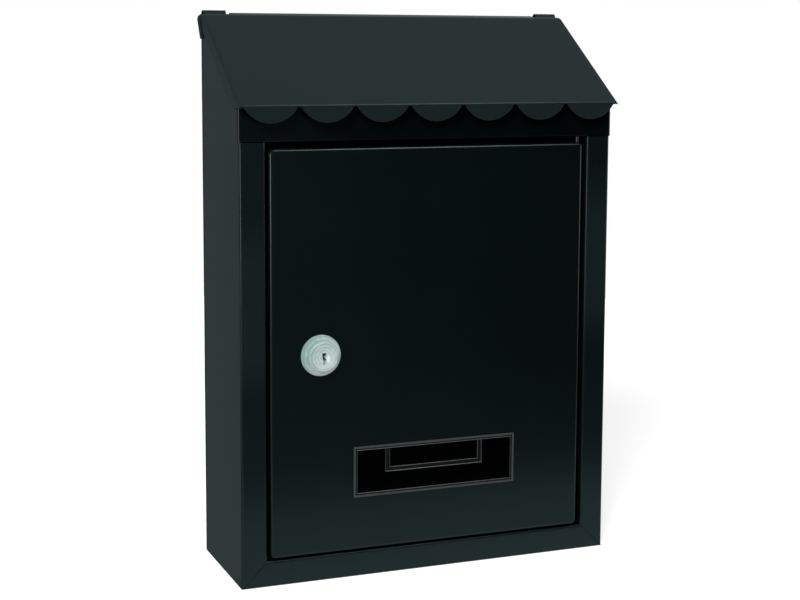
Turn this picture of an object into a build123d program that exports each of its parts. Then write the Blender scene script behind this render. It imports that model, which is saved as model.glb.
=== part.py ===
from build123d import *
from math import cos, radians, sin, tan
import os

# A wall mounted mailbox in folded sheet steel: hinged roof, locked front door.
# X is to the right seen from the front, Y points into the wall and Z is up. The origin
# is on the back face, in the middle of the four wall screws and of the body's height.

# Body
body_width = 215.0
body_height = 300.0        # to the top edge of the back panel
body_depth = 74.0
sheet = 0.7                # thickness of every folded sheet
fold_radius = 1.4          # outside radius of the folds
frame_border = 14.0        # border beside and below the door opening
header_height = 22.0       # border above the door opening
return_depth = 10.0        # fold round the door opening, towards the wall
rear_return = 12.0         # folds that lie on the back panel
bottom_tab = 10.0          # tabs of the bottom panel on the sides
header_wrap = 12.0         # the header's ends, folded round the sides
seam = 0.15                # half of the seam between two butted sheets

# Wall screws
screw_hole = 6.0
screw_spacing_x = 150.0
screw_spacing_z = 220.0

# Roof and its hinge
rod_diameter = 2.4
running_clearance = 0.05   # radial, where a piece turns on another
knuckle_radius = 2.6       # outside of the curled tabs of the back panel
knuckle_length = 12.8
knuckle_gap = 2.6          # between a knuckle and the roof's barrel
barrel_gap = 0.45          # between the roof's barrel and the back panel's top edge
strip_slope = 10.0         # degrees, rear strip of the roof
strip_length = 7.0
strip_bend_radius = 4.0
roof_slope = 33.7          # degrees
roof_overhang = 6.0        # from the front of the body to the lip
roof_rest_gap = 0.4        # under the roof, along the slope
roof_side_gap = 0.3        # beside the header's ends
flange_depth = 8.0
flange_radius = 1.5        # outside radius of the fold to the side flanges
spike_length = 2.8         # pointed end of each flange, past the front fold
spike_height = 1.3
barrel_turn = 250.0        # degrees that the roof's edge is curled through
knuckle_turn = 290.0
lip_height = 9.3
scallop_count = 7
scallop_root = 0.85        # from the front fold down to the notches between scallops
scallop_notch = 1.8        # width of those notches
lip_round = 0.3            # radius on the front edge of the scallops
flange_relief = 8.0        # front corner of each flange, up the slope
rod_bend = 1.9             # radius of the rod's bent end
rod_tail = 10.9            # straight part of the bent end
rod_tail_angle = 3.0       # degrees that the tail leans back to the side
rod_swing = 20.0           # degrees that the bent end is turned to the front
rod_reach = 1.2            # from the side sheet to the middle of the bent end

# Door
door_gap_lock = 1.7        # between door and opening, on the lock's side
door_gap_hinge = 3.0
door_gap_top = 3.2
door_gap_bottom = 1.0
door_proud = 1.0           # door face in front of the frame
door_flange = 8.5          # depth of the pan
door_corner = 2.5          # radius of the pan's corners
door_edge = 2.2            # radius round the face
hinge_inset = 1.9          # pin centre from the door's edge
hinge_setback = 2.8        # pin centre behind the front of the frame
pin_diameter = 1.8
pin_head_diameter = 3.0
pin_head = 1.2
pin_engagement = 2.5       # pin past the door's flange
pin_collar_gap = 0.3       # under the door's lower flange

# Window and card holder
window_width = 95.4        # over the bezel
window_height = 28.1
window_offset = 2.75       # to the right of the door's middle
window_rise = 29.4         # bezel above the door's lower edge
bezel_rim = 2.4
bezel_proud = 0.9
bezel_lap = 1.5            # rim outside the cut-out
bezel_depth = 3.2          # neck behind the door sheet
bezel_fit = 0.1            # neck in the cut-out, and pane in the neck
pane_thickness = 1.6
pane_recess = 1.3          # behind the front of the bezel
holder_width = 57.5
holder_height = 15.5
holder_rim = 2.9
holder_offset = -0.6       # from the middle of the window
holder_thickness = 1.0

# Lock
lock_inset = 27.9          # centre from the door's edge
lock_rise = 108.8          # centre above the door's lower edge
head_radius = 11.05
head_rim = 0.4             # straight edge of the head
head_rings = 5             # turned rings on the head
head_lip = 0.4             # flat round the plug
barrel_diameter = 18.0
barrel_flats = 16.0
hole_fit = 0.1
plug_diameter = 12.0
plug_head_diameter = 13.4
plug_head_depth = 1.6
plug_proud = 6.0           # plug face in front of the door
axial_gap = 0.15
keyway_width = 2.2
keyway_top = 2.3           # above the plug's middle
keyway_foot = 3.9          # below it
cam_thickness = 2.0
cam_width = 12.0
cam_eye = 15.6             # round end of the cam, about the plug
cam_overlap = 3.4          # cam behind the fold of the frame
cam_gap = 2.8              # cam behind the fold, along Y
cam_square = 7.0
cam_washer_diameter = 9.8
washer_thickness = 0.8
washer_teeth = 16
nut_flats = 22.0
nut_thickness = 3.0
cam_screw_diameter = 4.0
cam_screw_length = 7.0
cam_screw_head = 7.6
cam_screw_head_height = 2.6
cam_screw_recess = 4.6     # arms of the cross in the head
cam_screw_slot = 1.0
wafer_count = 5
wafer_pitch = 2.2
wafer_thickness = 1.0
wafer_width = 6.6
wafer_fit = 0.08
first_wafer = 4.2          # behind the plug's face
spring_diameter = 1.1
spring_wire = 0.22
spring_length = 2.4
spring_turns = 5

# Places that follow from the sizes
half_width = body_width / 2
front_y = -body_depth
floor_z = -body_height / 2
top_z = body_height / 2
axis_y = -knuckle_radius
barrel_radius = rod_diameter / 2 + running_clearance + sheet
axis_z = top_z + barrel_radius + barrel_gap
strip_tilt = radians(strip_slope)
roof_tilt = radians(roof_slope)
strip_start = (axis_y - barrel_radius * sin(strip_tilt), axis_z + barrel_radius * cos(strip_tilt))
bend_y = strip_start[0] - strip_length * cos(strip_tilt)
bend_z = strip_start[1] - strip_length * sin(strip_tilt)
fold_y = front_y - roof_overhang
fold_z = bend_z - (bend_y - fold_y) * tan(roof_tilt)
half_roof = half_width + sheet + roof_side_gap + sheet


def roof_point(along, depth):
    """A point up the slope from the front fold, at a depth under the outer surface."""
    y = fold_y + along * cos(roof_tilt) + depth * sin(roof_tilt)
    z = fold_z + along * sin(roof_tilt) - depth * cos(roof_tilt)
    return (y, z)


def under_roof(y):
    """Height of the line that the body keeps to, under the slope."""
    return fold_z + (y - fold_y) * tan(roof_tilt) - (sheet + roof_rest_gap) / cos(roof_tilt)


header_top = under_roof(front_y)
opening_top = header_top - header_height
opening_bottom = floor_z + frame_border
opening_half = half_width - frame_border
side_bend_y = front_y + fold_radius + sheet
over_all = axis_z + 2 * knuckle_radius    # a height that nothing reaches
hinge_x = opening_half - door_gap_hinge - hinge_inset
hinge_y = front_y + hinge_setback

os.makedirs("parts", exist_ok=True)

# Back panel, with its two top tabs curled into knuckles
knuckle_bore = knuckle_radius - sheet
knuckle_z = axis_z + knuckle_bore - rod_diameter / 2 - running_clearance
with BuildPart() as back_panel:
    with BuildSketch(Plane.XZ):
        Rectangle(body_width, body_height)
        with GridLocations(screw_spacing_x, screw_spacing_z, 2, 2):
            Circle(screw_hole / 2, mode=Mode.SUBTRACT)
    extrude(amount=sheet)
    for x in (-half_width, half_width - knuckle_length):
        with BuildSketch(Plane.YZ.offset(x)):
            with BuildLine():
                Line((0, top_z - frame_border), (0, knuckle_z))
                CenterArc((axis_y, knuckle_z), knuckle_radius, 0, knuckle_turn)
                offset(amount=sheet, side=Side.LEFT)
            make_face()
        extrude(amount=knuckle_length)
back_panel.part.label = "back_panel"
export_step(back_panel.part, "parts/back_panel.step")

# Sides: a rear fold, the outer sheet, the front border and the fold round the opening
for name, hand in (("left_side", -1), ("right_side", 1)):
    with BuildPart() as side:
        with BuildSketch(Plane.XY.offset(floor_z + sheet)):
            with BuildLine():
                FilletPolyline(
                    (hand * (half_width - rear_return), -sheet),
                    (hand * half_width, -sheet),
                    (hand * half_width, front_y),
                    (hand * opening_half, front_y),
                    (hand * opening_half, front_y + return_depth),
                    radius=fold_radius,
                )
                offset(amount=sheet, side=Side.LEFT if hand < 0 else Side.RIGHT)
            make_face()
        extrude(amount=body_height)
        # Top edge under the roof, and the place of the header
        with BuildSketch(Plane.YZ.offset(-half_width)):
            with BuildLine():
                Polyline(
                    (0, top_z),
                    ((top_z - header_top) / tan(roof_tilt) + front_y, top_z),
                    (side_bend_y, under_roof(side_bend_y)),
                    (side_bend_y, opening_top),
                    (front_y - sheet, opening_top),
                    (front_y - sheet, over_all),
                    (0, over_all),
                    close=True,
                )
            make_face()
        extrude(amount=body_width, mode=Mode.SUBTRACT)
        with BuildSketch(Plane.XY.offset(opening_top)):
            with Locations((0, (front_y + side_bend_y) / 2)):
                Rectangle(body_width, side_bend_y - front_y + 2 * sheet)
            with Locations((0, front_y + return_depth / 2)):
                Rectangle(2 * (half_width - 2 * sheet), return_depth + 2 * sheet)
        extrude(amount=over_all - opening_top, mode=Mode.SUBTRACT)
        # Mitre at the lower corner of the front
        with BuildSketch(Plane.XZ.offset(-front_y - return_depth - sheet)):
            with BuildLine():
                Polyline(
                    (hand * (half_width + seam), floor_z),
                    (hand * (opening_half - frame_border), floor_z),
                    (hand * (opening_half - frame_border), opening_bottom + frame_border + seam),
                    close=True,
                )
            make_face()
        extrude(amount=return_depth + 2 * sheet, mode=Mode.SUBTRACT)
    side.part.label = name
    export_step(side.part, f"parts/{name}.step")

# Bottom panel: a tray with the lower border, a rear fold and two tabs inside the sides
with BuildPart() as bottom_panel:
    with BuildSketch(Plane.YZ):
        with BuildLine():
            FilletPolyline(
                (-sheet, floor_z + rear_return),
                (-sheet, floor_z),
                (front_y, floor_z),
                (front_y, opening_bottom),
                (front_y + return_depth, opening_bottom),
                radius=fold_radius,
            )
            offset(amount=sheet, side=Side.RIGHT)
        make_face()
    extrude(amount=half_width, both=True)
    for hand in (-1, 1):
        # Room for the rear folds of the sides, and the mitre of the front border
        with BuildSketch(Plane.XY.offset(floor_z + sheet)):
            with Locations((hand * half_width, 0)):
                Rectangle(2 * (rear_return + seam), 2 * rear_return)
        extrude(amount=body_height, mode=Mode.SUBTRACT)
        with BuildSketch(Plane.XZ.offset(-front_y - return_depth - sheet)):
            with BuildLine():
                Polyline(
                    (hand * (half_width - sheet - seam), floor_z + sheet),
                    (hand * (opening_half - seam), opening_bottom),
                    (hand * (opening_half - seam), opening_bottom + sheet),
                    (hand * (half_width + sheet), opening_bottom + sheet),
                    (hand * (half_width + sheet), floor_z + sheet),
                    close=True,
                )
            make_face()
        extrude(amount=return_depth + 2 * sheet, mode=Mode.SUBTRACT)
        with BuildSketch(Plane.XY.offset(floor_z)):
            with Locations((hand * (half_width - 1.5 * sheet), front_y / 2)):
                Rectangle(sheet, body_depth - 2 * (return_depth + 2 * sheet))
        extrude(amount=bottom_tab)
    # Hole for the lower hinge pin
    with Locations((hinge_x, hinge_y, opening_bottom)):
        Hole(pin_diameter / 2, depth=2 * sheet)
bottom_panel.part.label = "bottom_panel"
export_step(bottom_panel.part, "parts/bottom_panel.step")

# Header: the border above the door, a sloped top fold, and ends wrapped round the sides
inner_half = half_width - sheet - seam
with BuildPart() as front_header:
    with BuildSketch(Plane.YZ):
        with BuildLine():
            FilletPolyline(
                (front_y + return_depth, opening_top),
                (front_y, opening_top),
                (front_y, header_top),
                (front_y + return_depth, under_roof(front_y + return_depth)),
                radius=fold_radius,
            )
            offset(amount=sheet, side=Side.RIGHT)
        make_face()
    extrude(amount=inner_half, both=True)
    with BuildSketch(Plane.XY.offset(opening_top)):
        with BuildLine():
            FilletPolyline(
                (-half_width - sheet, front_y + header_wrap),
                (-half_width - sheet, front_y),
                (half_width + sheet, front_y),
                (half_width + sheet, front_y + header_wrap),
                radius=fold_radius,
            )
            offset(amount=sheet, side=Side.LEFT)
        make_face()
        # Where the first section already stands, its own folds show
        with Locations((0, front_y)):
            Rectangle(2 * (inner_half - fold_radius), 2 * sheet, mode=Mode.SUBTRACT)
    extrude(amount=header_height)
    with BuildSketch(Plane.YZ.offset(-half_roof)):
        with BuildLine():
            Polyline(
                (front_y - sheet, under_roof(front_y - sheet)),
                (front_y + header_wrap + sheet, under_roof(front_y + header_wrap + sheet)),
                (front_y - sheet, under_roof(front_y + header_wrap + sheet)),
                close=True,
            )
        make_face()
    extrude(amount=2 * half_roof, mode=Mode.SUBTRACT)
    with Locations((hinge_x, hinge_y, opening_top + 2 * sheet)):
        Hole(pin_diameter / 2, depth=3 * sheet)
front_header.part.label = "front_header"
export_step(front_header.part, "parts/front_header.step")

# Hinge rod of the roof, its left end bent down beside the body
corner_x = -half_width - sheet - rod_reach
tail_end = (
    corner_x + rod_tail * sin(radians(rod_tail_angle)),
    -rod_bend - rod_tail * cos(radians(rod_tail_angle)),
)
rod_plane = Plane(origin=(0, axis_y, axis_z), x_dir=(1, 0, 0), z_dir=(0, -1, 0))
rod_plane = rod_plane.rotated((-rod_swing, 0, 0))
with BuildPart() as roof_hinge_rod:
    with BuildLine(rod_plane) as rod_path:
        FilletPolyline((half_width + sheet, 0), (corner_x, 0), tail_end, radius=rod_bend)
    with BuildSketch(Plane(origin=rod_path.line @ 0, z_dir=rod_path.line % 0)):
        Circle(rod_diameter / 2)
    sweep()
roof_hinge_rod.part.label = "roof_hinge_rod"
export_step(roof_hinge_rod.part, "parts/roof_hinge_rod.step")

# Roof: a cap with a flange at each side, a curled rear edge and a lip of scallops
barrel_half = half_width - knuckle_length - knuckle_gap
notch_y = axis_y - knuckle_radius - knuckle_bore + running_clearance
cusp_z = fold_z - scallop_root
scallop_pitch = body_width / scallop_count
scallop_width = scallop_pitch - scallop_notch
first_scallop = -half_width + scallop_notch / 2
strip_end_y = notch_y - sheet
slope_length = (bend_y - fold_y) / cos(roof_tilt)
bend_turn = (roof_tilt - strip_tilt) / 2
inner_bend = roof_point(slope_length - sheet * tan(bend_turn), sheet)
flange_front = roof_point(flange_relief, flange_depth)
flange_rear = (notch_y, flange_front[1] + (notch_y - flange_front[0]) * tan(roof_tilt))
fold_tangent = fold_radius * tan((radians(90) - roof_tilt) / 2) * cos(roof_tilt)

with BuildPart() as roof_room:
    with BuildSketch(Plane.YZ):
        with BuildLine():
            FilletPolyline(
                (0, inner_bend[1] - inner_bend[0] * tan(strip_tilt)),
                inner_bend,
                roof_point(-2 * spike_length, sheet),
                radius=strip_bend_radius - sheet,
            )
            Polyline(
                roof_point(-2 * spike_length, sheet),
                roof_point(-2 * spike_length, 2 * flange_depth),
                (0, flange_front[1]),
                (0, inner_bend[1] - inner_bend[0] * tan(strip_tilt)),
            )
        make_face()
    extrude(amount=half_roof - sheet, both=True)
    fillet(
        roof_room.edges().filter_by(Axis((0, 0, 0), (0, cos(roof_tilt), sin(roof_tilt)))),
        flange_radius - sheet,
    )

with BuildPart() as roof_lid:
    with BuildSketch(Plane.YZ):
        with BuildLine():
            FilletPolyline(
                (notch_y, bend_z + (notch_y - bend_y) * tan(strip_tilt)),
                (bend_y, bend_z),
                roof_point(-spike_length, 0),
                radius=strip_bend_radius,
            )
            Polyline(
                roof_point(-spike_length, 0),
                roof_point(0, spike_height),
                flange_front,
                flange_rear,
                (notch_y, bend_z + (notch_y - bend_y) * tan(strip_tilt)),
            )
        make_face()
    extrude(amount=half_roof, both=True)
    slope_edges = roof_lid.edges().filter_by(Axis((0, 0, 0), (0, cos(roof_tilt), sin(roof_tilt))))
    fillet(slope_edges.sort_by(Axis.Z)[-2:], flange_radius)
    add(roof_room.part, mode=Mode.SUBTRACT)
    # Only the flanges run past the front fold
    for half, y in ((half_roof - sheet, fold_y), (half_width, fold_y + fold_tangent)):
        with BuildSketch(Plane.XZ.offset(-y)):
            with Locations((0, fold_z)):
                Rectangle(2 * half, 2 * flange_depth)
        extrude(amount=spike_length + fold_radius, mode=Mode.SUBTRACT)
    # Front fold and the straight part of the lip
    with BuildSketch(Plane.YZ):
        with BuildLine():
            FilletPolyline(
                roof_point(2 * fold_radius, 0),
                (fold_y, fold_z),
                (fold_y, cusp_z),
                radius=fold_radius,
            )
            offset(amount=sheet, side=Side.LEFT)
        make_face()
    extrude(amount=half_width, both=True)
    with BuildSketch(Plane.XZ.offset(-fold_y)):
        with BuildLine():
            Polyline(
                (first_scallop, cusp_z),
                (first_scallop, cusp_z + sheet / 2),
                (-first_scallop, cusp_z + sheet / 2),
                (-first_scallop, cusp_z),
            )
            for i in range(scallop_count):
                x = first_scallop + i * scallop_pitch
                ThreePointArc(
                    (x, cusp_z),
                    (x + scallop_width / 2, fold_z - lip_height),
                    (x + scallop_width, cusp_z),
                )
                if i < scallop_count - 1:
                    Line((x + scallop_width, cusp_z), (x + scallop_pitch, cusp_z))
        make_face()
    extrude(amount=-sheet)
    lip_edges = roof_lid.edges().filter_by(GeomType.CIRCLE).group_by(Axis.Y)[0]
    fillet(lip_edges, lip_round)
    # Rear strip and barrel
    with BuildSketch(Plane.YZ):
        with BuildLine():
            CenterArc((axis_y, axis_z), barrel_radius, 90 + strip_slope - barrel_turn, barrel_turn)
            Line(strip_start, (strip_end_y, bend_z + (strip_end_y - bend_y) * tan(strip_tilt)))
            offset(amount=sheet, side=Side.LEFT)
        make_face()
    extrude(amount=barrel_half, both=True)
roof_lid.part.label = "roof_lid"
export_step(roof_lid.part, "parts/roof_lid.step")

# Door: a pressed pan with the window cut-out and the flatted lock hole
door_left = -opening_half + door_gap_lock
door_right = opening_half - door_gap_hinge
door_bottom = opening_bottom + door_gap_bottom
door_top = opening_top - door_gap_top
door_face = front_y - door_proud
door_middle = ((door_left + door_right) / 2, (door_bottom + door_top) / 2)
window_x = door_middle[0] + window_offset
window_z = door_bottom + window_rise + window_height / 2
lock_x = door_left + lock_inset
lock_z = door_bottom + lock_rise
cutout_width = window_width - 2 * bezel_lap
cutout_height = window_height - 2 * bezel_lap
with BuildPart() as door_panel:
    with BuildSketch(Plane.XZ.offset(-door_face)):
        with Locations(door_middle):
            RectangleRounded(door_right - door_left, door_top - door_bottom, door_corner)
    extrude(amount=-door_flange)
    fillet(door_panel.faces().sort_by(Axis.Y)[0].edges(), door_edge)
    offset(amount=-sheet, openings=door_panel.faces().sort_by(Axis.Y)[-1])
    with BuildSketch(Plane.XZ.offset(-door_face)):
        with Locations((window_x, window_z)):
            Rectangle(cutout_width, cutout_height)
    extrude(amount=-2 * sheet, mode=Mode.SUBTRACT)
    with BuildSketch(Plane.XZ.offset(-door_face)):
        with Locations((lock_x, lock_z)):
            Circle(barrel_diameter / 2 + hole_fit)
            Rectangle(
                barrel_flats + 2 * hole_fit, 2 * barrel_diameter, mode=Mode.INTERSECT
            )
    extrude(amount=-2 * sheet, mode=Mode.SUBTRACT)
    for z in (door_top + sheet, door_bottom + 2 * sheet):
        with Locations((hinge_x, hinge_y, z)):
            Hole(pin_diameter / 2 + running_clearance, depth=3 * sheet)
door_panel.part.label = "door_panel"
export_step(door_panel.part, "parts/door_panel.step")

# Hinge pins of the door, headed inside the frame
with BuildPart() as upper_hinge_pin:
    with BuildSketch(Plane.XY.offset(door_top - pin_engagement)):
        with Locations((hinge_x, hinge_y)):
            Circle(pin_diameter / 2)
    extrude(amount=opening_top + sheet - door_top + pin_engagement)
    with BuildSketch(Plane.XY.offset(opening_top + sheet)):
        with Locations((hinge_x, hinge_y)):
            Circle(pin_head_diameter / 2)
    extrude(amount=pin_head)
    fillet(upper_hinge_pin.faces().sort_by(Axis.Z)[-1].edges(), pin_head / 3)
upper_hinge_pin.part.label = "upper_hinge_pin"
export_step(upper_hinge_pin.part, "parts/upper_hinge_pin.step")

with BuildPart() as lower_hinge_pin:
    with BuildSketch(Plane.XY.offset(opening_bottom - sheet - pin_head)):
        with Locations((hinge_x, hinge_y)):
            Circle(pin_head_diameter / 2)
    extrude(amount=pin_head)
    with BuildSketch(Plane.XY.offset(opening_bottom - sheet)):
        with Locations((hinge_x, hinge_y)):
            Circle(pin_diameter / 2)
    extrude(amount=sheet + door_gap_bottom + sheet + pin_engagement)
    with BuildSketch(Plane.XY.offset(opening_bottom)):
        with Locations((hinge_x, hinge_y)):
            Circle(pin_head_diameter / 2)
    extrude(amount=door_gap_bottom - pin_collar_gap)
lower_hinge_pin.part.label = "lower_hinge_pin"
export_step(lower_hinge_pin.part, "parts/lower_hinge_pin.step")

# Window: a bezel with a neck through the door, the pane in it and the card holder on it
bezel_front = door_face - bezel_proud
neck_width = cutout_width - 2 * bezel_fit
neck_height = cutout_height - 2 * bezel_fit
with BuildPart() as window_bezel:
    with BuildSketch(Plane.XZ.offset(-door_face)):
        with Locations((window_x, window_z)):
            Rectangle(window_width, window_height)
    extrude(amount=bezel_proud)
    with BuildSketch(Plane.XZ.offset(-door_face)):
        with Locations((window_x, window_z)):
            Rectangle(neck_width, neck_height)
    extrude(amount=-bezel_depth)
    with BuildSketch(Plane.XZ.offset(-bezel_front)):
        with Locations((window_x, window_z)):
            Rectangle(window_width - 2 * bezel_rim, window_height - 2 * bezel_rim)
    extrude(amount=-bezel_proud - bezel_depth, mode=Mode.SUBTRACT)
    chamfer(window_bezel.faces().sort_by(Axis.Y)[0].edges(), bezel_proud / 3)
    # Snap wedges behind the door sheet, above and below
    for hand in (-1, 1):
        for x in (window_x - window_width / 4, window_x + window_width / 4):
            with BuildSketch(Plane.YZ.offset(x - bezel_rim)):
                with BuildLine():
                    Polyline(
                        (door_face + sheet, window_z + hand * (neck_height / 2 - bezel_fit)),
                        (door_face + sheet, window_z + hand * (neck_height / 2 + 2 * bezel_fit)),
                        (door_face + bezel_depth, window_z + hand * (neck_height / 2 - bezel_fit)),
                        close=True,
                    )
                make_face()
            extrude(amount=2 * bezel_rim)
window_bezel.part.label = "window_bezel"
export_step(window_bezel.part, "parts/window_bezel.step")

pane_y = bezel_front + pane_recess
pane_width = window_width - 2 * bezel_rim
pane_height = window_height - 2 * bezel_rim
with BuildPart() as window_pane:
    with BuildSketch(Plane.XZ.offset(-pane_y)):
        with Locations((window_x, window_z)):
            Rectangle(pane_width, pane_height)
    extrude(amount=-pane_thickness)
window_pane.part.label = "window_pane"
export_step(window_pane.part, "parts/window_pane.step")

holder_top = window_z + pane_height / 2
holder_low = window_z + window_height / 2 - holder_height
with BuildPart() as card_holder:
    with BuildSketch(Plane.XZ.offset(-pane_y)):
        with Locations((window_x + holder_offset, (holder_top + holder_low) / 2)):
            Rectangle(holder_width, holder_top - holder_low)
        with Locations((window_x + holder_offset, (holder_top + holder_low) / 2 + holder_rim)):
            Rectangle(holder_width - 2 * holder_rim, holder_top - holder_low, mode=Mode.SUBTRACT)
    extrude(amount=holder_thickness)
    chamfer(card_holder.faces().sort_by(Axis.Y)[0].edges(), holder_thickness / 4)
card_holder.part.label = "card_holder"
export_step(card_holder.part, "parts/card_holder.step")

# Lock housing: ringed head, flatted barrel, stepped bore for the plug
plug_radius = plug_diameter / 2
plug_head_radius = plug_head_diameter / 2
plug_front = door_face - plug_proud
cam_front = front_y + return_depth + cam_gap
housing_back = cam_front - axial_gap
head_depth = plug_proud - axial_gap
head_ring = (head_radius - plug_head_radius - head_lip) / head_rings
head_outline = [(0, 0), (head_radius, 0), (head_radius, -head_rim)]
for i in range(1, head_rings + 1):
    height = head_rim + (head_depth - head_rim) * i / head_rings
    ring_radius = head_radius - i * head_ring
    head_outline.append((ring_radius + head_ring / 2, -height))
    head_outline.append((ring_radius, -height))
with BuildPart() as lock_housing:
    with BuildSketch(Plane(origin=(lock_x, door_face, lock_z), x_dir=(1, 0, 0), z_dir=(0, 0, 1))):
        with BuildLine():
            Polyline(*head_outline, (0, -head_depth), close=True)
        make_face()
    revolve(axis=Axis((lock_x, 0, lock_z), (0, 1, 0)))
    with BuildSketch(Plane.XZ.offset(-door_face)):
        with Locations((lock_x, lock_z)):
            Circle(barrel_diameter / 2)
            Rectangle(barrel_flats, barrel_diameter, mode=Mode.INTERSECT)
    extrude(amount=door_face - housing_back)
    with BuildSketch(Plane.XZ.offset(-housing_back)):
        with Locations((lock_x, lock_z)):
            Circle(plug_radius + running_clearance)
    extrude(amount=housing_back - plug_front, mode=Mode.SUBTRACT)
    with BuildSketch(Plane.XZ.offset(-plug_front - plug_head_depth - axial_gap)):
        with Locations((lock_x, lock_z)):
            Circle(plug_head_radius + running_clearance)
    extrude(amount=plug_head_depth + axial_gap, mode=Mode.SUBTRACT)
lock_housing.part.label = "lock_housing"
export_step(lock_housing.part, "parts/lock_housing.step")

# Toothed washer and nut that clamp the housing in the door
washer_y = door_face + sheet
with BuildPart() as lock_washer:
    with BuildSketch(Plane.XZ.offset(-washer_y)):
        with Locations((lock_x, lock_z)):
            Circle(nut_flats / 2 + washer_thickness)
            Circle(barrel_diameter / 2 + hole_fit, mode=Mode.SUBTRACT)
            with PolarLocations(nut_flats / 2 + washer_thickness, washer_teeth):
                Circle(washer_thickness, mode=Mode.SUBTRACT)
    extrude(amount=-washer_thickness)
lock_washer.part.label = "lock_washer"
export_step(lock_washer.part, "parts/lock_washer.step")

nut_y = washer_y + washer_thickness
with BuildPart() as lock_nut:
    with BuildSketch(Plane.XZ.offset(-nut_y)):
        with Locations((lock_x, lock_z)):
            RegularPolygon(nut_flats / 2, 6, major_radius=False)
            Circle(barrel_diameter / 2 + running_clearance, mode=Mode.SUBTRACT)
    extrude(amount=-nut_thickness)
lock_nut.part.label = "lock_nut"
export_step(lock_nut.part, "parts/lock_nut.step")

# Plug: head, keyway, slots for the wafers, pockets for their springs, square end
wafer_places = [
    (lock_x, plug_front + first_wafer + i * wafer_pitch, lock_z) for i in range(wafer_count)
]
slot_width = wafer_width + 2 * wafer_fit
slot_depth = wafer_thickness + 2 * wafer_fit
pocket_x = wafer_width / 2 + spring_diameter / 2 + wafer_fit
pocket_width = spring_diameter + 2 * wafer_fit
pocket_height = 2 * spring_length
wafers_end = plug_front + first_wafer + (wafer_count - 0.5) * wafer_pitch
with BuildPart() as lock_plug:
    with BuildSketch(Plane.XZ.offset(-plug_front)):
        with Locations((lock_x, lock_z)):
            Circle(plug_head_radius)
    extrude(amount=-plug_head_depth)
    fillet(lock_plug.faces().sort_by(Axis.Y)[0].edges(), plug_head_depth / 4)
    with BuildSketch(Plane.XZ.offset(-plug_front - plug_head_depth)):
        with Locations((lock_x, lock_z)):
            Circle(plug_radius)
    extrude(amount=plug_front + plug_head_depth - cam_front)
    with BuildSketch(Plane.XZ.offset(-cam_front)):
        with Locations((lock_x, lock_z)):
            Rectangle(cam_square, cam_square)
    extrude(amount=axial_gap - cam_thickness)
    # Keyway: two offset lobes joined by a neck, tapered at the foot
    with BuildSketch(Plane.XZ.offset(-plug_front)):
        with Locations((lock_x, lock_z)):
            Polygon(
                (-keyway_width / 2, keyway_top),
                (keyway_width / 2, keyway_top),
                (keyway_width / 2, keyway_top / 5),
                (keyway_width / 5, -keyway_foot / 10),
                (keyway_width / 1.6, -keyway_foot / 3),
                (keyway_width / 1.8, -keyway_foot / 1.6),
                (0, -keyway_foot),
                (-keyway_width / 3, -keyway_foot),
                (-keyway_width / 8, -keyway_foot / 1.7),
                (-keyway_width / 3, -keyway_foot / 4),
                (-keyway_width / 2, 0),
                align=None,
            )
    extrude(amount=plug_front - wafers_end, mode=Mode.SUBTRACT)
    with Locations(*wafer_places):
        Box(slot_width, slot_depth, 2 * plug_radius, mode=Mode.SUBTRACT)
    with Locations(*[(x + pocket_x, y, z) for x, y, z in wafer_places]):
        Box(pocket_width, pocket_width, pocket_height, mode=Mode.SUBTRACT)
    with BuildSketch(Plane.XZ.offset(-cam_front - cam_thickness)):
        with Locations((lock_x, lock_z)):
            Circle(cam_screw_diameter / 2)
    extrude(amount=cam_screw_length + axial_gap, mode=Mode.SUBTRACT)
lock_plug.part.label = "lock_plug"
export_step(lock_plug.part, "parts/lock_plug.step")

# Wafers, each with a window for the key and a hook over its spring
with BuildPart() as lock_wafers:
    for x, y, z in wafer_places:
        with BuildSketch(Plane.XZ.offset(-y + wafer_thickness / 2)):
            with Locations((x, z)):
                Rectangle(wafer_width, 2 * plug_radius)
                Circle(plug_radius - 2 * running_clearance - wafer_fit, mode=Mode.INTERSECT)
                Rectangle(wafer_width / 2, plug_radius, mode=Mode.SUBTRACT)
            with Locations((x + pocket_x - wafer_fit, z + wafer_thickness)):
                Rectangle(pocket_width, wafer_thickness)
        extrude(amount=-wafer_thickness)
lock_wafers.part.label = "lock_wafers"
export_step(lock_wafers.part, "parts/lock_wafers.step")

spring_radius = (spring_diameter - spring_wire) / 2
with BuildPart() as wafer_springs:
    for x, y, z in wafer_places:
        foot = z - pocket_height / 2 + spring_wire
        with BuildLine(Plane((x + pocket_x, y, foot))) as coil:
            Helix(spring_length / spring_turns, spring_length, spring_radius)
        with BuildSketch(Plane(origin=coil.line @ 0, z_dir=coil.line % 0)):
            Circle(spring_wire / 2)
        sweep(path=coil.line)
wafer_springs.part.label = "wafer_springs"
export_step(wafer_springs.part, "parts/wafer_springs.step")

# Cam: hangs down when unlocked, and turns behind the fold of the frame on the lock's side
cam_reach = lock_inset + door_gap_lock + sheet + cam_overlap
with BuildPart() as lock_cam:
    with BuildSketch(Plane.XZ.offset(-cam_front)):
        with Locations((lock_x, lock_z)):
            Circle(cam_eye / 2)
        with Locations((lock_x, lock_z - cam_reach / 2)):
            RectangleRounded(cam_width, cam_reach, cam_width / 4)
        with Locations((lock_x, lock_z)):
            Rectangle(cam_square + hole_fit, cam_square + hole_fit, mode=Mode.SUBTRACT)
    extrude(amount=-cam_thickness)
lock_cam.part.label = "lock_cam"
export_step(lock_cam.part, "parts/lock_cam.step")

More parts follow.
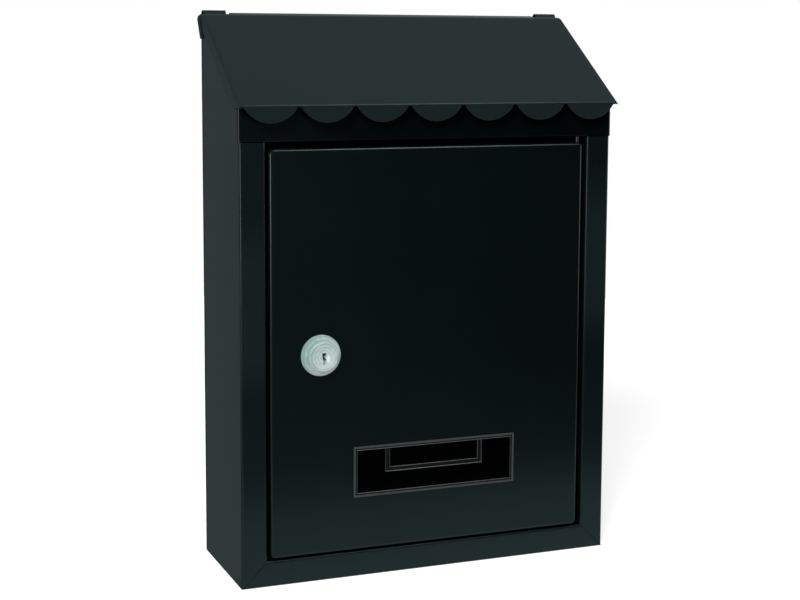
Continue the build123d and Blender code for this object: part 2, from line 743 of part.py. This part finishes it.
cam_back = cam_front + cam_thickness
with BuildPart() as cam_washer:
    with BuildSketch(Plane.XZ.offset(-cam_back)):
        with Locations((lock_x, lock_z)):
            Circle(cam_washer_diameter / 2)
            Circle(cam_screw_diameter / 2 + hole_fit, mode=Mode.SUBTRACT)
    extrude(amount=-washer_thickness)
cam_washer.part.label = "cam_washer"
export_step(cam_washer.part, "parts/cam_washer.step")

screw_seat = cam_back + washer_thickness
with BuildPart() as cam_screw:
    with BuildSketch(Plane.XZ.offset(-screw_seat)):
        with Locations((lock_x, lock_z)):
            Circle(cam_screw_head / 2)
    extrude(amount=-cam_screw_head_height)
    fillet(cam_screw.faces().sort_by(Axis.Y)[-1].edges(), cam_screw_head_height / 2)
    with BuildSketch(Plane.XZ.offset(-screw_seat)):
        with Locations((lock_x, lock_z)):
            Circle(cam_screw_diameter / 2 - running_clearance)
    extrude(amount=cam_screw_length)
    with BuildSketch(Plane.XZ.offset(-screw_seat - cam_screw_head_height)):
        with Locations((lock_x, lock_z)):
            Rectangle(cam_screw_recess, cam_screw_slot)
            Rectangle(cam_screw_slot, cam_screw_recess)
    extrude(amount=cam_screw_head_height / 2, mode=Mode.SUBTRACT)
cam_screw.part.label = "cam_screw"
export_step(cam_screw.part, "parts/cam_screw.step")
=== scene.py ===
import bmesh
import bpy
import math
from mathutils import Euler, Matrix, Vector


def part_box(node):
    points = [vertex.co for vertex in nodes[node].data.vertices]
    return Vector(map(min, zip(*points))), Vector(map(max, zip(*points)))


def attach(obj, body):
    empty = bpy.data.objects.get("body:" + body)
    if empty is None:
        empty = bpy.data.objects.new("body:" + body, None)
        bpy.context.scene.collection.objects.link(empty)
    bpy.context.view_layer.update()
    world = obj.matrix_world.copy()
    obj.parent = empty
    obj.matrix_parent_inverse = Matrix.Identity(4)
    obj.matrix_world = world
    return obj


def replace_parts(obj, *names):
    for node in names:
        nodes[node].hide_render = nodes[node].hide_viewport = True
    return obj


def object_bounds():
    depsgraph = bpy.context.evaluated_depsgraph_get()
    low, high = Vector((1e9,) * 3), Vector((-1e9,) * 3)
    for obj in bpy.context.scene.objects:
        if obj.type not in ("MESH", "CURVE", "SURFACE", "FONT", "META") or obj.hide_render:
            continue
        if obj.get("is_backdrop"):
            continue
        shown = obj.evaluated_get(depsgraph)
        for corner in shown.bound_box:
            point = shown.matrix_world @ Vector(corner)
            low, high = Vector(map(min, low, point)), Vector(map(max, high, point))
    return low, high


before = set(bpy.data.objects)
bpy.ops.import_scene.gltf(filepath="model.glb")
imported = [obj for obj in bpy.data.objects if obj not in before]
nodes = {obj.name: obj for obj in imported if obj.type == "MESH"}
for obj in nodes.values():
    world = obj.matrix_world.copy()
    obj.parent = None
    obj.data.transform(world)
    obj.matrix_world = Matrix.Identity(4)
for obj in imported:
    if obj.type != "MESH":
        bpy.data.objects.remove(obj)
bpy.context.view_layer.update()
scene = bpy.context.scene
print("frame loaded,", len(nodes), "nodes")


# Camera, metres and degrees

cameraSetup = {
    "place": (-0.3335, -0.8676, 0.1392),
    "turn": -21.64,     # about the vertical
    "tilt": 6.92,       # looking down
    "roll": 0.27,
    "lens": 72.2,
    "shiftY": -0.08,
    "nearest": 0.01,
}


def makeCamera(setup):
    lens = bpy.data.cameras.new("camera")
    lens.lens = setup["lens"]
    lens.shift_y = setup["shiftY"]
    lens.clip_start = setup["nearest"]
    camera = bpy.data.objects.new("camera", lens)
    scene.collection.objects.link(camera)
    aim = Euler((math.radians(90 - setup["tilt"]), 0, math.radians(setup["turn"])))
    turned = aim.to_matrix() @ Matrix.Rotation(math.radians(setup["roll"]), 3, "Z")
    camera.rotation_euler = turned.to_euler()
    camera.location = setup["place"]
    scene.camera = camera


makeCamera(cameraSetup)
scene.view_settings.view_transform = "Standard"
print("camera placed")


# Shader maths written as Python

class Field:
    def __init__(self, shader, socket):
        self.shader = shader
        self.socket = socket

    def maths(self, operation, first, second=0.0):
        return self.shader.node("Math", {"operation": operation}, {0: first, 1: second})

    def __add__(self, other):
        return self.maths("ADD", self, other)

    def __radd__(self, other):
        return self.maths("ADD", other, self)

    def __sub__(self, other):
        return self.maths("SUBTRACT", self, other)

    def __rsub__(self, other):
        return self.maths("SUBTRACT", other, self)

    def __mul__(self, other):
        return self.maths("MULTIPLY", self, other)

    def __rmul__(self, other):
        return self.maths("MULTIPLY", other, self)

    def __truediv__(self, other):
        return self.maths("DIVIDE", self, other)

    def __rtruediv__(self, other):
        return self.maths("DIVIDE", other, self)

    def __pow__(self, other):
        return self.maths("POWER", self, other)

    def __rpow__(self, other):
        return self.maths("POWER", other, self)


class Shader:
    def __init__(self, holder):
        holder.use_nodes = True
        self.tree = holder.node_tree
        self.tree.nodes.clear()

    def node(self, kind, settings=None, values=None, out=0):
        made = self.tree.nodes.new("ShaderNode" + kind)
        for key, value in (settings or {}).items():
            setattr(made, key, value)
        for key, value in (values or {}).items():
            if isinstance(value, Field):
                self.tree.links.new(value.socket, made.inputs[key])
            else:
                made.inputs[key].default_value = value
        return Field(self, made.outputs[out]) if made.outputs else None

    def place(self):
        return self.node("TexCoord", out="Object")

    def along(self, place, axis):
        return self.node("SeparateXYZ", None, {0: place}, axis)

    def noise(self, place, scale, detail):
        return self.node("TexNoise", None, {"Vector": place, "Scale": scale, "Detail": detail})

    def ramp(self, value, start, end):
        return self.node("MapRange", {"interpolation_type": "SMOOTHSTEP"}, {
            "Value": value, "From Min": start, "From Max": end, "To Min": 0.0, "To Max": 1.0,
        })

    def softAreas(self, place, areas):    # an area: its level, then axis, start and end of each edge
        total = 0.0
        for level, *edges in areas:
            for axis, start, end in edges:
                level = level * self.ramp(self.along(place, axis), start, end)
            total = total + level
        return total

    def blend(self, factor, first, second):
        return self.node("Mix", {"data_type": "RGBA"}, {0: factor, 6: first, 7: second}, 2)

    def bump(self, height, distance):
        return self.node("Bump", None, {"Height": height, "Distance": distance, "Strength": 1.0})


def makeMaterial(name, fill):
    material = bpy.data.materials.new(name)
    shader = Shader(material)
    surface = shader.node("BsdfPrincipled", None, fill(shader))
    shader.node("OutputMaterial", None, {"Surface": surface})
    return material


# Powder coat: one black paint in lit and shaded copies, with painted shade making it darkest on the door
# and the header and painted light making it palest on the roof.
# A noise is given by its scale per metre and its detail, here and below.

coatLook = {
    "tint": (0.75, 0.97, 1.0, 1),
    # painted sheen on the front borders, standing in for their reflection
    "paintedSheen": (0.0070, 0.0122, 0.0126, 1),
    "cloud": (14.0, 3.0),
    "peel": (620.0, 1.0),           # orange peel
    "grain": (2600.0, 1.0),
    "peelDepth": 0.000012,
    "grainShare": 0.35,             # its height, of the peel's
    "smoother": 0.05,               # taken off, because cloud and grain roughen
    "cloudRoughens": 0.08,
    "grainRoughens": 0.03,
    "borderEdge": (0.0015, 0.0003),     # back from the front of the folded sides
    "wrapEdge": (0.0017, 0.0010),       # in from either end of the header
    "leftStretch": (0.0707, 0.0217),    # in from its left end
}

headerLeft, headerRight = [corner.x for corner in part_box("front_header")]
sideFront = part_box("left_side")[0].y
borderFace = ("Y", *[sideFront + depth for depth in coatLook["borderEdge"]])
leftWrap = ("X", *[headerLeft + depth for depth in coatLook["wrapEdge"]])
rightWrap = ("X", *[headerRight - depth for depth in coatLook["wrapEdge"]])
leftStretch = ("X", *[headerLeft + depth for depth in coatLook["leftStretch"]])

coats = {
    # painted shade: the door's copy of the coat is darker than the body's
    "doorCoat": {
        "colour": (0.0004, 0.0014, 0.0014, 1), "paler": (0.0014, 0.0032, 0.0032, 1),
        "roughness": 0.22, "specular": 0.5,
    },
    # painted light: the roof's copy of the coat is paler, as if lit from above
    "roofCoat": {
        "colour": (0.0048, 0.0084, 0.0086, 1), "paler": (0.0062, 0.0106, 0.0108, 1),
        "roughness": 0.36, "specular": 0.5,
    },
    "rearCoat": {
        "colour": (0.0010, 0.0028, 0.0032, 1), "paler": (0.0022, 0.0046, 0.0052, 1),
        "roughness": 0.46, "specular": 0.5,
    },
    "bodyCoat": {
        "colour": (0.0010, 0.0028, 0.0032, 1), "paler": (0.0022, 0.0046, 0.0052, 1),
        "roughness": 0.22, "specular": 0.5,
    },
    # painted shade: the header's copy is darker than the body's, standing in for the shade under the
    # roof's lip
    "headerCoat": {
        "colour": (0.0005, 0.0013, 0.0014, 1), "paler": (0.0009, 0.0019, 0.0020, 1),
        "roughness": 0.24, "specular": 0.12,
        "glossier": [(0.2, leftWrap), (0.6, rightWrap), (0.4, leftStretch)],
    },
}
coats["leftCoat"] = coats["bodyCoat"] | {    # painted sheen: a paler colour about the middle of the front border stands in for its reflection
    "paintedSheenAreas": [(0.5, borderFace, ("Z", 0.052, 0.022), ("Z", -0.052, -0.022))],
}
# painted sheen on the right front border, set higher up
coats["rightCoat"] = coats["bodyCoat"] | {
    "paintedSheenAreas": [(0.65, borderFace, ("Z", 0.076, 0.036), ("Z", -0.036, -0.004))],
}


def powderCoat(name):
    coat = coats[name]

    def fill(shader):
        place = shader.place()
        cloud = shader.noise(place, *coatLook["cloud"])
        peel = shader.noise(place, *coatLook["peel"])
        grain = shader.noise(place, *coatLook["grain"])
        colour = shader.blend(cloud, coat["colour"], coat["paler"])
        # painted sheen: the front borders are made paler where they would reflect light
        if "paintedSheenAreas" in coat:
            paintedSheen = shader.softAreas(place, coat["paintedSheenAreas"])
            colour = shader.blend(paintedSheen, colour, coatLook["paintedSheen"])
        roughness = coat["roughness"] - coatLook["smoother"] + cloud * coatLook["cloudRoughens"]
        sockets = {
            "Base Color": colour,
            "Specular IOR Level": coat["specular"],
            "Specular Tint": coatLook["tint"],
            "Roughness": roughness + grain * coatLook["grainRoughens"],
            "Normal": shader.bump(peel + grain * coatLook["grainShare"], coatLook["peelDepth"]),
        }
        if "glossier" in coat:
            sockets["Coat Weight"] = shader.softAreas(place, coat["glossier"])
            sockets["Coat Roughness"] = coat["roughness"]
        return sockets
    return fill


# Lock, in dull turned nickel, ringed towards the upper left; painted light makes it paler to the right
# and downwards, so darker towards the upper left, and a painted highlight lies right of the plug's middle

lockLook = {
    "colour": (0.30, 0.46, 0.43, 1),
    "paler": (0.78, 0.86, 0.85, 1),
    # painted highlight colour, beside the keyway
    "glintColour": (0.91, 1.0, 1.0, 1),
    "metallic": 0.4,
    "roughness": 0.36,
    "cloud": (420.0, 3.0),
    "speckle": (3200.0, 2.0),
    "ringPitch": 0.0017,
    "ringWander": 0.0022,
    "ringEdge": (-0.004, 0.012),      # where they fade in, towards the upper left
    "ringEdgeWander": 0.012,
    "ringStrength": 1.7,
    "ringShare": 0.5,                 # their height, of the speckle's
    "bumpDepth": 0.00004,
    "ringsRoughen": 0.05,
    "speckleRoughens": 0.12,
    "paleness": -0.21,                # what the rest adds to
    "cloudPales": 0.5,
    "ringsPale": 0.24,
    # painted light: paler to the right, downwards and on the lowest stretch of the rim
    "sidePales": 20.0,                # per metre to the right
    "paleAreas": [                    # from the plug's middle
        (0.38, ("Z", 0.010, -0.009)),     # downwards
        (0.38, ("Z", -0.007, -0.011)),    # on the lowest stretch of the rim
        (0.3, ("X", -0.012, -0.002)),     # to the right of the left rim
    ],
    "paintedGlint": (0.0022, -0.0009),      # painted highlight: place right of the plug's middle and over it
    "glintSize": (0.0013, 0.0027),   # half width and half height
    "glintWander": 0.4,
    "glintEdge": (1.2, 0.3),         # square of the distance, in those halves
}


def turnedNickel(shader):
    look = lockLook
    low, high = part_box("lock_plug")
    middle = (low + high) / 2
    centred = shader.node("VectorMath", {"operation": "SUBTRACT"}, {
        0: shader.place(), 1: (middle.x, 0.0, middle.z),
    })
    side = shader.along(centred, "X")
    rise = shader.along(centred, "Z")
    cloud = shader.noise(shader.place(), *look["cloud"])
    speckle = shader.noise(shader.place(), *look["speckle"])

    reach = (side * side + rise * rise) ** 0.5 + cloud * look["ringWander"]
    rings = reach.maths("SINE", reach * (2 * math.pi / look["ringPitch"]))
    ringed = shader.ramp(rise - side + cloud * look["ringEdgeWander"], *look["ringEdge"])
    rings = rings * ringed * cloud * look["ringStrength"]

    # painted highlight right of the plug's middle
    spotSide, spotRise = look["paintedGlint"]
    halfWidth, halfHeight = look["glintSize"]
    glintMask = ((side - spotSide) / halfWidth) ** 2 + ((rise - spotRise) / halfHeight) ** 2
    glintMask = shader.ramp(glintMask + cloud * look["glintWander"], *look["glintEdge"])

    # painted light in the paleness: to the right and over the listed areas
    paleness = look["paleness"] + cloud * look["cloudPales"] + rings * look["ringsPale"]
    paleness = paleness + side * look["sidePales"] + shader.softAreas(centred, look["paleAreas"])
    colour = shader.blend(paleness, look["colour"], look["paler"])
    return {
        "Base Color": shader.blend(glintMask, colour, look["glintColour"]),
        "Metallic": look["metallic"],
        "Roughness": look["roughness"] + rings * look["ringsRoughen"] + speckle * look["speckleRoughens"],
        "Normal": shader.bump(rings * look["ringShare"] + speckle, look["bumpDepth"]),
    }


# Zinc plate inside the box, dull on the upper hinge pin and near black on the lower

zincLook = {
    "bright": ((0.50, 0.51, 0.50, 1), (0.66, 0.66, 0.62, 1)),
    "dulled": ((0.10, 0.10, 0.10, 1), (0.16, 0.16, 0.16, 1)),
    "nearBlack": ((0.008, 0.010, 0.010, 1), (0.02, 0.024, 0.024, 1)),
    "roughness": 0.30,
    "cloudRoughens": 0.12,
    "cloud": (260.0, 3.0),
    "grain": (3000.0, 2.0),
    "grainDepth": 0.00001,
}


def zincPlate(shade):
    def fill(shader):
        place = shader.place()
        cloud = shader.noise(place, *zincLook["cloud"])
        grain = shader.noise(place, *zincLook["grain"])
        return {
            "Base Color": shader.blend(cloud, *zincLook[shade]),
            "Metallic": 1.0,
            "Roughness": zincLook["roughness"] + cloud * zincLook["cloudRoughens"],
            "Normal": shader.bump(grain, zincLook["grainDepth"]),
        }
    return fill


# Brass wafers in the lock

brassLook = {
    "colour": (0.62, 0.44, 0.18, 1),
    "paler": (0.74, 0.56, 0.26, 1),
    "roughness": 0.28,
    "cloudRoughens": 0.14,
    "cloud": (300.0, 2.0),
}


def stampedBrass(shader):
    cloud = shader.noise(shader.place(), *brassLook["cloud"])
    return {
        "Base Color": shader.blend(cloud, brassLook["colour"], brassLook["paler"]),
        "Metallic": 1.0,
        "Roughness": brassLook["roughness"] + cloud * brassLook["cloudRoughens"],
    }


# Window frame and card holder, with painted highlights in grey along their raised beads

bezelShape = {
    "rim": 0.0024,
    "neck": 0.0016,       # how far the rim reaches past the neck
    "catch": 0.00075,     # catch behind the door sheet, from the door's face
    "catchRise": 0.0002,
    "beads": ((0.00140, 0.0), (0.00050, 0.00018)),   # width and drop of each bead, outer first
    "beadRise": 0.0005,   # over the flat between the beads
    "beadSteps": 5,
}

holderShape = {
    "rim": 0.0029,
    "beads": ((0.00060, 0.0), (0.00055, 0.0)),
    "beadRise": 0.0004,
    "beadSteps": 5,
    "fadedGlint": 0.0045,   # along the strip from its left end, where the painted highlight is fainter
}

frameLook = {
    "colour": (0.0010, 0.0011, 0.0012, 1),
    # painted highlight: grey on the bead tops, standing in for their reflections
    "paintedGlint": (0.034, 0.037, 0.038, 1),
    "glintEdge": (0.9, 0.1),      # depth under a bead's top, as a share of its rise
    "fadedGlintEdge": (0.8, 1.2),    # along the strip, as a share of the length where the painted highlight is fainter
    "fadedGlintLevel": 0.35,
    "roughness": 0.20,
    "grainRoughens": 0.08,
    "grain": (2400.0, 2.0),
    "grainDepth": 0.00001,
}


def framePlastic(node, shape):
    def fill(shader):
        place = shader.place()
        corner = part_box(node)[0]
        grain = shader.noise(place, *frameLook["grain"])
        depth = (shader.along(place, "Y") - corner.y) / shape["beadRise"]
        # painted highlight on the bead tops, fainter near the holder's left end
        paintedGlint = shader.ramp(depth, *frameLook["glintEdge"])
        if "fadedGlint" in shape:
            side = (shader.along(place, "X") - corner.x) / shape["fadedGlint"]
            faint = frameLook["fadedGlintLevel"]
            paintedGlint = paintedGlint * (faint + (1 - faint) * shader.ramp(side, *frameLook["fadedGlintEdge"]))
        return {
            "Base Color": shader.blend(paintedGlint, frameLook["colour"], frameLook["paintedGlint"]),
            "Roughness": frameLook["roughness"] + grain * frameLook["grainRoughens"],
            "Normal": shader.bump(grain, frameLook["grainDepth"]),
        }
    return fill


# Pane behind the window frame, near black: painted shade standing in for the dark inside of the box seen
# through it

paneLook = {
    # painted shade
    "colour": (0.0001, 0.0001, 0.0002, 1),
    "roughness": 0.10,
    "cloudRoughens": 0.03,
    "cloud": (30.0, 2.0),
    "specular": 0.04,
}


def smokedPane(shader):
    cloud = shader.noise(shader.place(), *paneLook["cloud"])
    return {
        "Base Color": paneLook["colour"],
        "Roughness": paneLook["roughness"] + cloud * paneLook["cloudRoughens"],
        "Specular IOR Level": paneLook["specular"],
    }


finishes = {
    "doorCoat": (powderCoat("doorCoat"), ["door_panel"]),
    "headerCoat": (powderCoat("headerCoat"), ["front_header"]),
    "roofCoat": (powderCoat("roofCoat"), ["roof_lid", "roof_hinge_rod"]),
    "rearCoat": (powderCoat("rearCoat"), ["back_panel"]),
    "leftCoat": (powderCoat("leftCoat"), ["left_side"]),
    "rightCoat": (powderCoat("rightCoat"), ["right_side"]),
    "bodyCoat": (powderCoat("bodyCoat"), ["bottom_panel"]),
    "turnedNickel": (turnedNickel, ["lock_housing", "lock_plug"]),
    "zincPlate": (zincPlate("bright"), [
        "lock_washer", "lock_nut", "lock_cam", "cam_washer", "cam_screw", "wafer_springs",
    ]),
    "dulledZinc": (zincPlate("dulled"), ["upper_hinge_pin"]),
    "paintedZinc": (zincPlate("nearBlack"), ["lower_hinge_pin"]),
    "stampedBrass": (stampedBrass, ["lock_wafers"]),
    "bezelPlastic": (framePlastic("window_bezel", bezelShape), ["window_bezel"]),
    "holderPlastic": (framePlastic("card_holder", holderShape), ["card_holder"]),
    "smokedPane": (smokedPane, ["window_pane"]),
}

for name, (fill, names) in finishes.items():
    material = makeMaterial(name, fill)
    for node in names:
        for slot in nodes[node].material_slots:
            slot.material = material
print("finishes made")


# Window frame and card holder: moulded strips with a round bead along both edges

def beadedOutline(shape, front, back):
    points = []
    outer, inner = shape["beads"]
    for start, (width, drop) in ((0.0, outer), (shape["rim"] - inner[0], inner)):
        for step in range(shape["beadSteps"] + 1):
            angle = math.pi * step / shape["beadSteps"]
            across = start + width * (1 - math.cos(angle)) / 2
            rise = (shape["beadRise"] - drop) * math.sin(angle)
            points.append((across, front + shape["beadRise"] - rise))
    return points + [(shape["rim"], back)]


def makeStrip(name, finish, corners, outline, closed):
    strip = bmesh.new()
    loops = []
    for x, z, inwardX, inwardZ in corners:
        ring = [strip.verts.new((x + inwardX * a, y, z + inwardZ * a)) for a, y in outline]
        loops.append([strip.edges.new((ring[i - 1], ring[i])) for i in range(len(ring))])
    for first, second in zip(loops, loops[1:]):
        bmesh.ops.bridge_loops(strip, edges=first + second)
    if closed:
        bmesh.ops.bridge_loops(strip, edges=loops[-1] + loops[0])
    else:
        for loop in (loops[0], loops[-1]):
            bmesh.ops.edgeloop_fill(strip, edges=loop)
    bmesh.ops.recalc_face_normals(strip, faces=strip.faces)
    mesh = bpy.data.meshes.new(name)
    strip.to_mesh(mesh)
    strip.free()
    made = bpy.data.objects.new(name, mesh)
    scene.collection.objects.link(made)
    mesh.materials.append(bpy.data.materials[finish])
    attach(made, "door")
    return made


def makeBezel(shape):
    low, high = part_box("window_bezel")
    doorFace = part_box("door_panel")[0].y
    neck = shape["neck"]
    catch = doorFace + shape["catch"]
    outline = beadedOutline(shape, low.y, high.y) + [
        (neck, high.y), (neck - shape["catchRise"], catch), (neck, catch), (neck, doorFace),
        (0.0, doorFace),
    ]
    corners = [    # place, then the way inwards
        (low.x, low.z, 1, 1), (high.x, low.z, -1, 1), (high.x, high.z, -1, -1), (low.x, high.z, 1, -1),
    ]
    return makeStrip("bezel_frame", "bezelPlastic", corners, outline, True)


def makeHolder(shape):    # open at the top, where the card slides in
    low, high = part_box("card_holder")
    outline = beadedOutline(shape, low.y, high.y) + [(0.0, high.y)]
    corners = [
        (low.x, high.z, 1, 0), (low.x, low.z, 1, 1), (high.x, low.z, -1, 1), (high.x, high.z, -1, 0),
    ]
    return makeStrip("holder_strip", "holderPlastic", corners, outline, False)


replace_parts(makeBezel(bezelShape), "window_bezel")
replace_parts(makeHolder(holderShape), "card_holder")
print("window frame made")


# Studio: floor, lamps and world. The bright areas that the paint mirrors are
# given in metres on the floor and as directions in the world.

studio = {
    "floorRadius": 0.9,
    "floorSides": 96,
    "floorDrop": 0.0002,          # under the lowest piece
    "floorColour": (0.72, 0.72, 0.72, 1),
    "floorGlow": 0.60,            # in direct view only, for a white ground
    "whiteRim": (0.45, 0.80),     # radii where the glow grows to full, to hide the floor's edge
    "white": (1, 1, 1, 1),
    "black": (0, 0, 0, 1),
    "ambient": (0.15, 0.15, 0.15, 1),
    "mirrored": (0.80, 0.98, 1.0, 1),              # colour of the bright areas
    "mirroredDark": (0.0064, 0.00784, 0.008, 1),   # and of what lies between them
    "floorAreas": [
        (0.48, ("Y", -0.25, -0.19), ("Y", -0.066, -0.080)),     # before the door
        (0.15, ("Y", -0.12, -0.04)),                            # behind the box
        (0.12, ("Y", -0.18, -0.25), ("X", 0.60, -0.05)),        # farther ahead, on the left
        (0.50, ("Y", -0.12, -0.04), ("X", 0.02, 0.35)),         # behind on the right
    ],
    "worldAreas": [
        (0.15, ("Y", -0.05, 0.55)),                             # behind the box
        (0.30, ("X", -0.55, -0.95), ("Y", 0.55, -0.05)),        # left
        (0.12, ("X", 0.44, 0.28), ("Y", -0.30, -0.80)),         # ahead, but for the far right
        (0.50, ("Y", -0.05, 0.55), ("X", 0.10, 0.55), ("Z", 0.65, 0.40)),   # behind on the right
        (0.50, ("X", 0.60, 0.95), ("Y", 0.55, -0.05)),          # right
        (0.14, ("Z", 0.15, 0.80)),                              # above
    ],
}

lampTarget = Vector((0, -0.04, 0))    # about the middle of the box

lamps = {    # level: how bright the lamp makes a white sheet that faces it at the target
    "keyBox": {"place": (-0.9, -1.2, 1.1), "size": 0.6, "level": 1.15, "mirrored": False},
    "fillBox": {"place": (1.3, -0.3, 0.7), "size": 1.0, "level": 0.3, "mirrored": False},
    "topStrip": {"place": (0.42, -0.56, 1.08), "size": 0.35, "level": 0.15, "mirrored": True},
    "leftStrip": {"place": (-1.15, -0.58, 0.04), "size": 0.35, "level": 0.12, "mirrored": True},
    "rightStrip": {"place": (1.15, -0.42, 0.04), "size": 0.35, "level": 0.035, "mirrored": True},
}


def seenRay(shader):    # by the camera, straight or through glass
    camera = shader.node("LightPath", out="Is Camera Ray")
    return camera + shader.node("LightPath", out="Is Transmission Ray")


def mirroredColour(shader, setup, place, areas):
    return shader.blend(shader.softAreas(place, areas), setup["mirroredDark"], setup["mirrored"])


def floorSurface(shader, setup):
    place = shader.place()
    radius = (shader.along(place, "X") ** 2 + shader.along(place, "Y") ** 2) ** 0.5
    rim = shader.ramp(radius, *setup["whiteRim"])
    level = seenRay(shader) * (setup["floorGlow"] + rim * (1 - setup["floorGlow"]))
    glow = shader.blend(level, setup["black"], setup["white"])
    mirrored = mirroredColour(shader, setup, place, setup["floorAreas"])
    lit = shader.node("AddShader", None, {
        0: shader.node("BsdfDiffuse", None, {"Color": setup["floorColour"]}),
        1: shader.node("Emission", None, {"Color": glow}),
    })
    return shader.node("MixShader", None, {
        0: shader.node("LightPath", out="Is Glossy Ray"),
        1: lit,
        2: shader.node("Emission", None, {"Color": mirrored}),
    })


def makeFloor(setup):
    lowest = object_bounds()[0].z
    sheet = bmesh.new()
    bmesh.ops.create_circle(
        sheet, cap_ends=True, segments=setup["floorSides"], radius=setup["floorRadius"])
    bmesh.ops.translate(sheet, verts=sheet.verts, vec=(0, 0, lowest - setup["floorDrop"]))
    mesh = bpy.data.meshes.new("floor")
    sheet.to_mesh(mesh)
    sheet.free()
    floor = bpy.data.objects.new("floor", mesh)
    scene.collection.objects.link(floor)
    material = bpy.data.materials.new("paleFloor")
    shader = Shader(material)
    shader.node("OutputMaterial", None, {"Surface": floorSurface(shader, setup)})
    mesh.materials.append(material)
    floor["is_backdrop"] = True


def makeLamps(setups, target):
    for name, setup in setups.items():
        light = bpy.data.lights.new(name, "AREA")
        light.size = setup["size"]
        away = Vector(setup["place"]) - target
        light.energy = setup["level"] * math.pi ** 2 * away.length_squared
        lamp = bpy.data.objects.new(name, light)
        lamp.location = setup["place"]
        lamp.rotation_euler = away.to_track_quat("Z", "Y").to_euler()
        lamp.visible_camera = False
        lamp.visible_glossy = setup["mirrored"]
        scene.collection.objects.link(lamp)


def makeWorld(setup):
    world = bpy.data.worlds.new("studio")
    scene.world = world
    shader = Shader(world)
    direction = shader.node("TexCoord", out="Generated")
    mirrored = mirroredColour(shader, setup, direction, setup["worldAreas"])
    glossy = shader.node("LightPath", out="Is Glossy Ray")
    sky = shader.blend(glossy, setup["ambient"], mirrored)
    sky = shader.blend(seenRay(shader), sky, setup["white"])
    surface = shader.node("Background", None, {"Color": sky, "Strength": 1.0})
    shader.node("OutputWorld", None, {"Surface": surface})


makeFloor(studio)
makeLamps(lamps, lampTarget)
makeWorld(studio)
print("studio lit")
